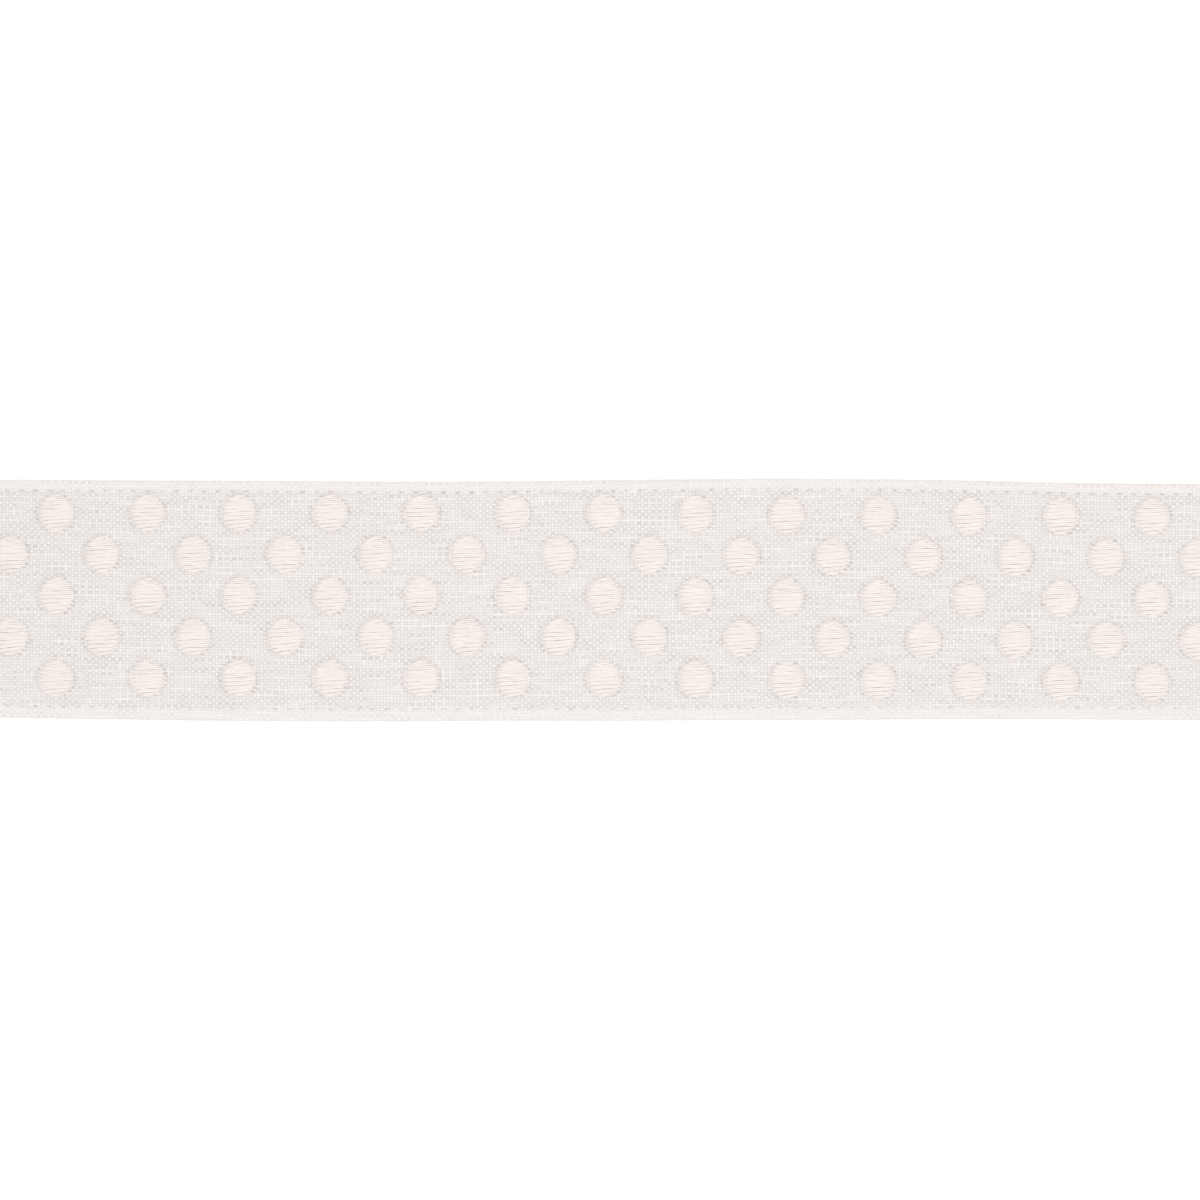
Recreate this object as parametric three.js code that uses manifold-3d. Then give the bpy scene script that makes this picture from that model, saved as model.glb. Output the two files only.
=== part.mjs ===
// A cut length of embroidered ribbon, lying flat with its face up. It is one strip of plain weave cloth: both
// long edges are turned under into narrow stitched hems, and five staggered rows of satin stitched dots stand
// up from its face. Cloth, hems and dots are one piece, so they are one solid.
// X runs along the ribbon, Y across it and Z up from the surface it lies on. Lengths are in millimetres.

import * as THREE from "three";
import { mergeVertices } from "three/addons/utils/BufferGeometryUtils.js";
import Module from "manifold-3d";

// Ribbon
const RIBBON_WIDTH = 38; // trade width, measured over both folded edges
const CLOTH_THICKNESS = 0.35; // one layer of the cloth
const HEM_LAYERS = 3; // the raw edge is turned under twice
const HEM_HEIGHT = HEM_LAYERS * CLOTH_THICKNESS;
const FACE_HEIGHT = 1.0; // the face between the hems lies a little lower than they do
const STITCH_INSET = 1.75; // from a folded edge to its line of stitches
const STITCH_DEPTH = 0.13; // how far that line pulls the hem in

// Dots
const DOT_PITCH = 14.46; // along a row
const ROW_PITCH = 6.54; // from one row to the next
const DOTS_IN_ROW = 15;
const ROW_COUNT = 5;
const FIRST_DOT = 0.25; // from the cut end to the first dot of the outer and middle rows, in pitches
const STAGGER = 0.5; // how much later the other two rows start, in pitches
const DOT_RADIUS = 3.05; // out to the needle holes round the rim
const DOT_CROWN = 0.46; // height of the padded stitches over the face
const DOT_SUNK = 0.15; // depth at which the stitches are held in the cloth
const DOT_SIDES = 14;
const DOT_VARIATION = 0.03; // hand of the machine: share by which one dot's size differs from the next

const RIBBON_LENGTH = DOTS_IN_ROW * DOT_PITCH; // whole repeats, so that the next length carries on the rows
const LENGTHWISE_STEPS = 45;

// How the ribbon wanders sideways as it lies: for each place along it, how far each folded edge and the rows
// of dots are from where they would be on a straight ribbon. Positive is towards +Y.
const WANDER = [
  { along: -108, farEdge: 0.12, nearEdge: 0.47, dotRows: 0.61 },
  { along: -90, farEdge: 0.01, nearEdge: 0.25, dotRows: 0.61 },
  { along: -72, farEdge: -0.06, nearEdge: -0.03, dotRows: 0.6 },
  { along: -54, farEdge: -0.15, nearEdge: -0.19, dotRows: 0.6 },
  { along: -36, farEdge: -0.27, nearEdge: -0.21, dotRows: 0.6 },
  { along: -18, farEdge: -0.2, nearEdge: -0.12, dotRows: 0.6 },
  { along: 0, farEdge: 0.03, nearEdge: -0.12, dotRows: 0.57 },
  { along: 18, farEdge: 0.2, nearEdge: -0.01, dotRows: 0.38 },
  { along: 36, farEdge: 0.16, nearEdge: 0.03, dotRows: 0.22 },
  { along: 54, farEdge: -0.07, nearEdge: 0.14, dotRows: 0.12 },
  { along: 72, farEdge: -0.48, nearEdge: 0.09, dotRows: 0.1 },
  { along: 90, farEdge: -0.61, nearEdge: -0.04, dotRows: -0.05 },
  { along: 108, farEdge: -0.51, nearEdge: -0.08, dotRows: -0.1 },
];

// Section of a hem, from under its fold, round it and in over the face: the distance in from the fold, and
// the height over the surface.
const HEM_SECTION = [
  { inset: 0.55, height: 0 },
  { inset: 0.16, height: 0.13 },
  { inset: 0, height: 0.48 },
  { inset: 0.12, height: 0.86 },
  { inset: 0.5, height: HEM_HEIGHT },
  { inset: STITCH_INSET - 0.4, height: HEM_HEIGHT },
  { inset: STITCH_INSET, height: HEM_HEIGHT - STITCH_DEPTH },
  { inset: STITCH_INSET + 0.4, height: FACE_HEIGHT + 0.02 },
  { inset: STITCH_INSET + 1.3, height: FACE_HEIGHT },
];

// Profile of a dot's padded stitches, as shares of its radius and of its crown over the face.
const DOT_PROFILE = [
  { out: 0.9, up: 0.66 },
  { out: 0.56, up: 0.95 },
  { out: 0, up: 1 },
];

const linen = new THREE.MeshStandardMaterial({ color: 0xeee8e3, roughness: 0.9, metalness: 0 });

// A smooth curve through one column of the table, level past its two ends.
function wander(column, x) {
  const spacing = WANDER[1].along - WANDER[0].along;
  const place = THREE.MathUtils.clamp((x - WANDER[0].along) / spacing, 0, WANDER.length - 1);
  const row = Math.min(Math.floor(place), WANDER.length - 2);
  const at = (i) => WANDER[THREE.MathUtils.clamp(i, 0, WANDER.length - 1)][column];
  const t = place - row;
  const startSlope = (at(row + 1) - at(row - 1)) / 2;
  const endSlope = (at(row + 2) - at(row)) / 2;
  const rise = at(row + 1) - at(row);
  return (
    at(row) + t * startSlope + t * t * (3 * rise - 2 * startSlope - endSlope) +
    t * t * t * (startSlope + endSlope - 2 * rise)
  );
}

// An even scatter between -1 and 1 that is the same every time: the fraction of a multiple of the golden ratio.
function scatter(index) {
  const GOLDEN = 0.6180339887;
  return 2 * ((index * GOLDEN) % 1) - 1;
}

// The cloth with its hems: the section drawn flat, carried along X, then moved out to the wandering edges.
function clothGeometry() {
  const half = RIBBON_WIDTH / 2;
  const near = HEM_SECTION.map(({ inset, height }) => new THREE.Vector2(inset - half, height));
  const far = HEM_SECTION.map(({ inset, height }) => new THREE.Vector2(half - inset, height)).reverse();
  const cloth = new THREE.ExtrudeGeometry(new THREE.Shape([...near, ...far]), {
    depth: RIBBON_LENGTH,
    steps: LENGTHWISE_STEPS,
    bevelEnabled: false,
  });
  cloth.translate(0, 0, -RIBBON_LENGTH / 2);
  // The section's x, y and the run's z become the ribbon's y, z and x.
  cloth.applyMatrix4(new THREE.Matrix4().set(0, 0, 1, 0, 1, 0, 0, 0, 0, 1, 0, 0, 0, 0, 0, 1));
  const points = cloth.getAttribute("position");
  for (let i = 0; i < points.count; i++) {
    const edge = points.getY(i) > 0 ? "farEdge" : "nearEdge";
    points.setY(i, points.getY(i) + wander(edge, points.getX(i)));
  }
  return cloth;
}

// One dot: a low crowned pad that starts inside the cloth, a little unlike its neighbours.
function dotGeometry(row, column) {
  const number = row * DOTS_IN_ROW + column + 1;
  const held = [new THREE.Vector2(0, -DOT_SUNK), new THREE.Vector2(DOT_RADIUS, -DOT_SUNK)];
  const crown = DOT_PROFILE.map(({ out, up }) => new THREE.Vector2(out * DOT_RADIUS, up * DOT_CROWN));
  const dot = new THREE.LatheGeometry([...held, ...crown], DOT_SIDES);
  dot.rotateX(Math.PI / 2);
  dot.rotateZ(Math.PI * scatter(number));
  const wide = 1 + DOT_VARIATION * scatter(2 * number);
  const deep = 1 + DOT_VARIATION * scatter(3 * number);
  dot.scale(wide, deep, 1);
  const { x, y } = dotCentre(row, column);
  dot.translate(x, y, FACE_HEIGHT);
  return dot;
}

// Rows are counted from the far edge, and dots from the -X end.
function dotCentre(row, column) {
  const start = FIRST_DOT + STAGGER * (row % 2);
  const x = (start + column) * DOT_PITCH - RIBBON_LENGTH / 2;
  const y = ((ROW_COUNT - 1) / 2 - row) * ROW_PITCH + wander("dotRows", x);
  return { x, y };
}

const wasm = await Module();
wasm.setup();

// A closed geometry as a solid that can be joined to others.
function toSolid(geometry) {
  geometry.deleteAttribute("normal");
  geometry.deleteAttribute("uv");
  const merged = mergeVertices(geometry, 1e-4);
  return new wasm.Manifold(
    new wasm.Mesh({
      numProp: 3,
      vertProperties: new Float32Array(merged.getAttribute("position").array),
      triVerts: new Uint32Array(merged.index.array),
    }),
  );
}

function toGeometry(solid) {
  const mesh = solid.getMesh();
  const geometry = new THREE.BufferGeometry();
  geometry.setAttribute("position", new THREE.BufferAttribute(mesh.vertProperties, mesh.numProp));
  geometry.setIndex(new THREE.BufferAttribute(mesh.triVerts, 1));
  geometry.computeVertexNormals();
  return geometry;
}

function makeRibbon() {
  let solid = toSolid(clothGeometry());
  for (let row = 0; row < ROW_COUNT; row++) {
    for (let column = 0; column < DOTS_IN_ROW; column++) {
      solid = solid.add(toSolid(dotGeometry(row, column)));
    }
  }
  const ribbon = new THREE.Mesh(toGeometry(solid), linen);
  ribbon.name = "ribbon";
  return ribbon;
}

const group = new THREE.Group();
group.add(makeRibbon());

export default group;
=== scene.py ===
# A cut length of embroidered ribbon, lying flat with its face up: the cloth with its turned hems, the satin
# stitched dots, the backs of the dots and the edge stitching. It is laid out as an add-on and run as a
# script. X runs along the ribbon, Y across it and Z up from the surface it lies on. Lengths are in metres,
# and the sizes below are given as a number of millimetres times MM.

import bpy
import numpy as np
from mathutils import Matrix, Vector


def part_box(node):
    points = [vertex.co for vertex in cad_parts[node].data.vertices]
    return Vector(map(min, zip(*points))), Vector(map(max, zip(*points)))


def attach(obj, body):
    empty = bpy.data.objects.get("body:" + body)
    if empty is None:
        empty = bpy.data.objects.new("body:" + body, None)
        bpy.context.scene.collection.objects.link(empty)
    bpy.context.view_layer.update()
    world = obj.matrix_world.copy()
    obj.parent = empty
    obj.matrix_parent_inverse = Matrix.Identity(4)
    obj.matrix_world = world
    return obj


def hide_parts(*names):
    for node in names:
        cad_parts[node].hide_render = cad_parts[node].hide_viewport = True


bl_info = {
    "name": "Embroidered ribbon",
    "version": (1, 0, 0),
    "blender": (4, 5, 0),
    "location": "3D View > Sidebar > Ribbon",
    "description": "Makes a cut length of hemmed ribbon with satin stitched dots",
    "category": "Object",
}

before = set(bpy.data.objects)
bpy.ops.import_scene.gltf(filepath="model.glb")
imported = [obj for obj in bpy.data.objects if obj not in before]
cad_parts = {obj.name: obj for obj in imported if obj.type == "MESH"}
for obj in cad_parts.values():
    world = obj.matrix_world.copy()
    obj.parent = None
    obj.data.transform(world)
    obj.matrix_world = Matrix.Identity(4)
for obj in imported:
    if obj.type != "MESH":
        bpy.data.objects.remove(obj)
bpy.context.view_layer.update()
RIBBON_LOW, RIBBON_HIGH = (np.array(corner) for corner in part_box("ribbon"))

MM = 0.001
BODY = "root"

# The ribbon's layout. It is the solid's own, so that every stitch stands where the solid has its dot.
RIBBON_WIDTH = 38 * MM  # measured over both folded edges
RIBBON_LENGTH = RIBBON_HIGH[0] - RIBBON_LOW[0]
DOTS_IN_ROW = 15
ROW_COUNT = 5
DOT_PITCH = RIBBON_LENGTH / DOTS_IN_ROW
ROW_PITCH = 6.54 * MM
FIRST_DOT = 0.25  # from the cut end to the first dot of the outer and middle rows, in pitches
STAGGER = 0.5  # how much later the other two rows start, in pitches
FACE_HEIGHT = 1.0 * MM
DOT_CROWN = RIBBON_HIGH[2] - FACE_HEIGHT  # height of a dot over the face

# How the ribbon wanders sideways as it lies, in millimetres: for each place along it, how far each folded
# edge and the rows of dots are from where they would be on a straight ribbon. Positive is towards +Y. The
# rows are the solid's, and the edges are within 0.12 mm of the solid's.
WANDER = np.array(
    [
        (-108, 0.00, 0.43, 0.61),
        (-90, -0.11, 0.21, 0.61),
        (-72, -0.18, -0.07, 0.60),
        (-54, -0.27, -0.23, 0.60),
        (-36, -0.39, -0.25, 0.60),
        (-18, -0.32, -0.16, 0.60),
        (0, -0.09, -0.16, 0.57),
        (18, 0.08, -0.05, 0.38),
        (36, 0.04, -0.01, 0.22),
        (54, -0.19, 0.10, 0.12),
        (72, -0.60, 0.05, 0.10),
        (90, -0.73, -0.08, -0.05),
        (108, -0.63, -0.12, -0.10),
    ],
    dtype=[("along", float), ("far_edge", float), ("near_edge", float), ("dot_rows", float)],
)

# The hems
HEM_LAYERS = 3
LAYER_GAP = 0.015 * MM  # from one layer of a hem to the next
FOLD_REACH = 0.15 * MM  # how far the folded edge bulges out
RAW_EDGE_INSET = 0.8 * MM  # from the folded edge to the raw edge inside the hem
STITCH_DIP = 0.11 * MM  # how far the stitches pull the hem down from above
STITCH_LIFT = 0.08 * MM  # how far they pull it up from below
GROOVE_WIDTH = 0.33 * MM  # of the line that they pull in

# The satin threads of the dots
HOLE_DEPTH = 0.3 * MM  # how deep in the cloth a thread starts
THREAD_INSET = 0.15 * MM  # how far inside its needle hole a pulled thread goes down
THREAD_FLATNESS = 0.7  # a thread's height as a share of its width
PAIR_SPACING = 0.46  # from one thread of a pair to the other, in needle pitches
PARTING_LENGTH = 0.16 * MM  # how far from its rim a pair starts to part
RISING_LENGTH = 0.3 * MM  # how far from its hole a thread is nearly at full height

# The photograph's frame: the place on the ribbon at its middle, and how much of the ribbon it spans.
VIEW_CENTRE = (-4.21 * MM, -0.06 * MM)
VIEW_SPAN = 190 * MM
LENS = 100
SENSOR_WIDTH = 36


def linear(hex_colour):
    """An sRGB hex colour such as "EEE8E3" as linear red, green, blue and a full alpha."""
    srgb = np.array([int(hex_colour[i : i + 2], 16) for i in (0, 2, 4)]) / 255
    low = srgb / 12.92
    high = ((srgb + 0.055) / 1.055) ** 2.4
    return (*np.where(srgb <= 0.04045, low, high).tolist(), 1.0)


class RIBBON_PG_sizes(bpy.types.PropertyGroup):
    """Sizes of the cloth and of the stitches on it"""

    cloth_thickness: bpy.props.FloatProperty(
        name="Cloth thickness",
        description="One layer of the woven cloth",
        default=0.34 * MM,
        min=0.1 * MM,
        unit="LENGTH",
    )
    hem_width: bpy.props.FloatProperty(
        name="Hem width",
        description="From a folded edge in to where the hem ends underneath",
        default=2.45 * MM,
        min=2 * MM,
        unit="LENGTH",
    )
    crosswise_pitch: bpy.props.FloatProperty(
        name="Crosswise threads",
        description="Distance between the threads that run across the ribbon",
        default=0.543 * MM,
        min=0.1 * MM,
        unit="LENGTH",
    )
    lengthwise_pitch: bpy.props.FloatProperty(
        name="Lengthwise threads",
        description="Distance between the threads that run along the ribbon",
        default=0.459 * MM,
        min=0.1 * MM,
        unit="LENGTH",
    )
    dot_radius: bpy.props.FloatProperty(
        name="Dot radius",
        description="From a dot's middle out to the needle holes round its rim",
        default=3.05 * MM,
        min=1 * MM,
        unit="LENGTH",
    )
    needle_pitch: bpy.props.FloatProperty(
        name="Needle pitch",
        description="Distance from one row of needle holes in a dot to the next",
        default=0.6 * MM,
        min=0.2 * MM,
        unit="LENGTH",
    )
    satin_thread: bpy.props.FloatProperty(
        name="Satin thread",
        description="Width of the embroidery thread as it lies in a dot",
        default=0.34 * MM,
        min=0.1 * MM,
        unit="LENGTH",
    )
    sewing_thread: bpy.props.FloatProperty(
        name="Sewing thread",
        description="Width of the thread of the edge stitching",
        default=0.26 * MM,
        min=0.1 * MM,
        unit="LENGTH",
    )
    far_stitch_inset: bpy.props.FloatProperty(
        name="Far stitch inset",
        description="From the far folded edge to its line of stitches",
        default=1.66 * MM,
        min=0.5 * MM,
        unit="LENGTH",
    )
    near_stitch_inset: bpy.props.FloatProperty(
        name="Near stitch inset",
        description="From the near folded edge to its line of stitches",
        default=1.88 * MM,
        min=0.5 * MM,
        unit="LENGTH",
    )
    stitch_pitch: bpy.props.FloatProperty(
        name="Stitch length",
        description="From one needle hole of the edge stitching to the next",
        default=2.23 * MM,
        min=1 * MM,
        unit="LENGTH",
    )


class RIBBON_PG_colours(bpy.types.PropertyGroup):
    """Colours of the cloth and of the threads"""

    cloth: bpy.props.FloatVectorProperty(
        name="Cloth",
        description="The crowns of the woven threads",
        default=linear("EDE8E5"),
        size=4,
        min=0,
        max=1,
        subtype="COLOR",
    )
    # Painted shade: the colour of the small gaps between the woven threads, where shade falls between them.
    painted_gap_shade: bpy.props.FloatVectorProperty(
        name="Cloth gaps",
        description="The small gaps between the woven threads",
        default=linear("C7C2BE"),
        size=4,
        min=0,
        max=1,
        subtype="COLOR",
    )
    satin: bpy.props.FloatVectorProperty(
        name="Satin thread",
        description="The embroidery thread of the dots",
        default=linear("EAE2DD"),
        size=4,
        min=0,
        max=1,
        subtype="COLOR",
    )
    sewing: bpy.props.FloatVectorProperty(
        name="Sewing thread",
        description="The thread of the edge stitching and of the backs of the dots",
        default=linear("E9E5E2"),
        size=4,
        min=0,
        max=1,
        subtype="COLOR",
    )
    floor: bpy.props.FloatVectorProperty(
        name="Floor",
        description="The pale surface that the ribbon lies on",
        default=linear("FBFBFA"),
        size=4,
        min=0,
        max=1,
        subtype="COLOR",
    )


# Forms


def smooth(share):
    """Rises from 0 to 1 as the share does, level at both ends: 3 times its square less 2 times its cube."""
    share = np.clip(share, 0, 1)
    return share * share * (3 - 2 * share)


def bell(distance, width):
    """1 where distance is 0, falling off on both sides as e to the minus (distance over width) squared."""
    return np.exp(-((distance / width) ** 2))


def scatter(index):
    """An even scatter between -1 and 1: the fraction of index times the golden ratio."""
    return 2 * np.mod(np.asarray(index) * 0.6180339887, 1) - 1


def wander(column, x):
    """Sideways shift at each x, in metres: a cubic through one column of WANDER, whose slope at each row is
    that between its neighbours, and which is held level past both ends."""
    spacing = WANDER["along"][1] - WANDER["along"][0]
    place = np.clip((x / MM - WANDER["along"][0]) / spacing, 0, len(WANDER) - 1)
    row = np.minimum(np.floor(place).astype(int), len(WANDER) - 2)
    value = WANDER[column]
    before, start, end, after = (value[np.clip(row + i, 0, len(WANDER) - 1)] for i in (-1, 0, 1, 2))
    share = place - row
    start_slope = (end - before) / 2
    end_slope = (after - start) / 2
    rise = end - start
    bend = 3 * rise - 2 * start_slope - end_slope
    turn = start_slope + end_slope - 2 * rise
    return MM * (start + share * start_slope + share**2 * bend + share**3 * turn)


def dot_centres():
    """Middles of the dots, as rows by dots by (x, y): rows from the far edge and dots from the -X end,
    every other row half a pitch later, all shifted by the rows' wander."""
    row, dot = np.meshgrid(np.arange(ROW_COUNT), np.arange(DOTS_IN_ROW), indexing="ij")
    x = (FIRST_DOT + STAGGER * (row % 2) + dot) * DOT_PITCH - RIBBON_LENGTH / 2
    y = ((ROW_COUNT - 1) / 2 - row) * ROW_PITCH + wander("dot_rows", x)
    return np.stack([x, y], axis=-1)


def from_nearest_dot(x, y):
    """Offset (x, y) of each point from the dot nearest to it, which is in its own row or one beside it."""
    centres = dot_centres()
    row = np.rint((ROW_COUNT - 1) / 2 - (y - wander("dot_rows", x)) / ROW_PITCH)
    nearest = np.full(np.shape(x), np.inf)
    offset = np.zeros((*np.shape(x), 2))
    for step in (-1, 0, 1):
        near_row = np.clip(row + step, 0, ROW_COUNT - 1).astype(int)
        place = (x + RIBBON_LENGTH / 2) / DOT_PITCH - FIRST_DOT - STAGGER * (near_row % 2)
        dot = np.clip(np.rint(place), 0, DOTS_IN_ROW - 1).astype(int)
        away = np.stack([x, y], axis=-1) - centres[near_row, dot]
        distance = np.hypot(away[..., 0], away[..., 1])
        offset = np.where((distance < nearest)[..., None], away, offset)
        nearest = np.minimum(nearest, distance)
    return offset


def face_relief(x, y, dot_radius):
    """Height that the stitches and the lie of the cloth add to its face: a low dome under each dot, which
    falls to nothing at the dome's edge, a soft trough round it, a low swell between the dots, which starts
    at the swell's edge, and three slow ripples, each a sine of x and y over its lengths."""
    dome_height, dome_edge, dome_slope = 0.2 * MM, 1.15 * dot_radius, 1.2 * MM
    trough_depth, trough_middle, trough_width = 0.03 * MM, 1.16 * dot_radius, 0.42 * MM
    swell_height, swell_edge, swell_slope = 0.05 * MM, 1.2 * dot_radius, 1.5 * MM
    out = np.linalg.norm(from_nearest_dot(x, y), axis=-1)
    dome = dome_height * smooth((dome_edge - out) / dome_slope)
    trough = trough_depth * bell(out - trough_middle, trough_width)
    swell = swell_height * smooth((out - swell_edge) / swell_slope)
    relief = dome - trough + swell
    for height, length, width, start in (
        (0.018 * MM, 11.3 * MM, 27 * MM, 0),
        (0.014 * MM, 6.1 * MM, -13 * MM, 1.1),
        (0.014 * MM, 23 * MM, 7.7 * MM, 2.3),
    ):
        relief = relief + height * np.sin(2 * np.pi * (x / length + y / width) + start)
    return relief


def arc(centre, reach, height, start, end, count):
    """Points and outward directions on an arc of an ellipse, reach wide and height high from its centre, at
    angles in degrees from +Y towards +Z, without its end."""
    angle = np.radians(np.linspace(start, end, count, endpoint=False))
    points = np.array(centre) + np.stack([reach * np.cos(angle), height * np.sin(angle)], axis=-1)
    out = np.stack([height * np.cos(angle), reach * np.sin(angle)], axis=-1)
    return points, out / np.linalg.norm(out, axis=-1, keepdims=True)


def line(start, end, out, count):
    """Points from start to end, without the end itself, all with one outward direction."""
    share = np.linspace(0, 1, count, endpoint=False)[:, None]
    points = np.array(start) * (1 - share) + np.array(end) * share
    return points, np.tile(np.array(out, dtype=float), (count, 1))


def hem_height(sizes):
    """Height of a hem: its layers and the gaps between them."""
    return HEM_LAYERS * sizes.cloth_thickness + (HEM_LAYERS - 1) * LAYER_GAP


def half_section(sizes):
    """The far half of the cloth's middle line in section, from the ribbon's middle out to the raw edge in
    the hem: out to the fold, round it, back under the face, up round the second fold and out again between
    the two layers. Gives points (y, z), the direction of the cloth's face at each, and which points its
    back keeps, where fewer are enough."""
    thick = sizes.cloth_thickness
    low, middle, top = thick / 2 + (thick + LAYER_GAP) * np.arange(HEM_LAYERS)
    half = RIBBON_WIDTH / 2
    fold_y = half - FOLD_REACH - thick / 2
    turn_radius = (middle - low) / 2
    turn_y = half - sizes.hem_width + turn_radius + thick / 2
    inner_y = half - 3.4 * MM  # from here out the points are closer together, for the groove of the stitches
    raw_y = half - RAW_EDGE_INSET
    # Each stretch, and of how many of its points the back keeps one.
    stretches = [
        (line((0, top), (inner_y, top), (0, 1), 40), 4),
        (line((inner_y, top), (fold_y, top), (0, 1), 11), 2),
        (arc((fold_y, (top + low) / 2), FOLD_REACH, (top - low) / 2, 90, -90, 7), 2),
        (line((fold_y, low), (turn_y, low), (0, -1), 4), 1),
        (arc((turn_y, (middle + low) / 2), turn_radius, turn_radius, 270, 90, 4), 2),
        (line((turn_y, middle), (raw_y, middle), (0, 1), 2), 1),
        (line((raw_y, middle), (raw_y, middle), (0, 1), 1), 1),
    ]
    points = np.concatenate([points for (points, _), _ in stretches])
    out = np.concatenate([out for (_, out), _ in stretches])
    kept = np.concatenate([np.arange(len(points)) % every == 0 for (points, _), every in stretches])
    return points, out, kept


def cloth_section(sizes):
    """The whole section from one raw edge to the other: points, outward directions, which of them the back
    keeps, and how far along the cloth each lies from the ribbon's middle."""
    points, out, kept = half_section(sizes)
    mirror = np.array([-1.0, 1.0])
    points = np.concatenate([points[:0:-1] * mirror, points])
    out = np.concatenate([out[:0:-1] * mirror, out])
    kept = np.concatenate([kept[:0:-1], kept])
    steps = np.linalg.norm(np.diff(points, axis=0), axis=-1)
    run = np.concatenate([[0], np.cumsum(steps)])
    return points, out, kept, run - run[len(run) // 2]


def lay_section(points, x, sizes):
    """Section points (y, z) laid down at every x: the layers are pressed together from above and from below
    along the line of stitches, most at the needle holes, the cloth sinks a little between the hems and
    takes the face's relief, and each side moves with its own edge, which waves a little in and out as the
    sum of two sines. Gives stations by points by (x, y, z)."""
    sinking_width = 1 * MM
    wave_height, wave_width = 0.014 * MM, 1.2 * MM
    wave_lengths = (3.3 * MM, 5.1 * MM)
    y, z = points[:, 0], points[:, 1]
    inset = RIBBON_WIDTH / 2 - np.abs(y)
    x = x[:, None]
    at_holes = np.cos(2 * np.pi * x / sizes.stitch_pitch)
    stitch_inset = np.where(y < 0, sizes.near_stitch_inset, sizes.far_stitch_inset)
    pressed = bell(inset - stitch_inset, GROOVE_WIDTH) * (1 + 0.2 * at_holes)
    single = smooth((inset - sizes.hem_width) / sinking_width + 0.5)
    share = y / RIBBON_WIDTH + 0.5
    wave = np.sin(2 * np.pi * x / wave_lengths[0]) + np.sin(2 * np.pi * x / wave_lengths[1] + y / MM)
    near, far = wander("near_edge", x), wander("far_edge", x)
    moved_y = y + near * (1 - share) + far * share + wave_height * wave * bell(inset, wave_width)
    moved_x = x + 0 * moved_y
    relief = face_relief(moved_x, moved_y, sizes.dot_radius)
    height = hem_height(sizes)
    change = single * (FACE_HEIGHT - height + relief) - (STITCH_DIP + STITCH_LIFT) * pressed
    moved_z = z * (1 + change / height) + STITCH_LIFT * pressed
    return np.stack([moved_x, moved_y, moved_z], axis=-1)


def eased(points):
    """Shares from 0 to 1 of the way along a thread, closer together near its ends: half of 1 less a
    cosine."""
    return (1 - np.cos(np.linspace(0, np.pi, points))) / 2


def between(left, right, share):
    """Points on the straight lines from each left hole to its right one, at each share of the way."""
    return left[:, :, None, :] * (1 - share[:, None]) + right[:, :, None, :] * share[:, None]


def satin_passes(sizes, row):
    """Needle holes of one row's satin stitches. They are on a circle, at the ends of level lines a needle
    pitch apart, and the thread goes to and fro between them: each pass joins a hole on the left to the hole
    on the right that is level with it, or to the one above that. Each dot leans a little its own way, and
    each hole is a little out of place. Gives the left and the right hole of each pass, as dots by passes by
    (x, y), and the dots' middles."""
    most_lean = np.radians(1.2)
    out_scatter = 0.022  # as a share of the way out
    up_scatter = 0.02 * MM
    holes = int(2 * sizes.dot_radius / sizes.needle_pitch)
    number = np.arange(2 * holes - 1)
    middles = dot_centres()[row]
    dot = row * DOTS_IN_ROW + np.arange(DOTS_IN_ROW)[:, None]

    def hole(index, side):
        up = ((holes - 1) / 2 - index) * sizes.needle_pitch
        out = side * np.sqrt(sizes.dot_radius**2 - up**2)
        out = out * (1 + out_scatter * scatter(7 * dot + 3 * index + side)) - side * THREAD_INSET
        up = up + up_scatter * scatter(5 * dot + 11 * index + 2 * side)
        lean = most_lean * scatter(dot)
        return np.stack([out - lean * up, up + lean * out], axis=-1)

    left = hole((number + 1) // 2, -1)
    right = hole(number // 2, 1)
    return left + middles[:, None, :], right + middles[:, None, :], middles


def satin_lines(sizes, left, right, seed, share):
    """Lines (x, y) of the satin threads from hole to hole. The two passes that share a hole on the left lie
    side by side, each half the spacing of a pair from the middle between them, until they part at the right
    rim, as e to the minus distance. Each strays from its line as the sum of two sines, and all threads of a
    dot bow up and down together as one sine, which moves on from thread to thread."""
    stray_height, second_height = 0.009 * MM, 0.0135 * MM
    bow_height, bow_step, bow_turn = 0.045 * MM, 0.4, 2.5
    number = np.arange(left.shape[1])[:, None]
    length = np.linalg.norm(right - left, axis=-1)[:, :, None]
    half_pitch = sizes.needle_pitch / 2

    # Half the distance between the two passes of a pair, less what it would be if both ran straight.
    together = PAIR_SPACING * half_pitch
    parted = together + (half_pitch - together) * np.exp(-(1 - share) * length / PARTING_LENGTH)
    parted = parted * (1 - np.exp(-share * length / PARTING_LENGTH)) - half_pitch * share
    upper_or_lower = np.where(number % 2 == 0, -1, 1)

    own = np.pi * scatter(seed * 3)[:, :, None]
    dots_own = np.pi * scatter(seed[:, :1] * 13)[:, :, None]
    stray = stray_height * np.sin(own + 3 * share) + second_height * np.sin(2 * own + 9 * share)
    bow = bow_height * np.sin(dots_own + bow_step * number + bow_turn * share)
    lines = between(left, right, share)
    lines[..., 1] += upper_or_lower * parted + (stray + bow) * np.sin(np.pi * share)
    return lines


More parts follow.
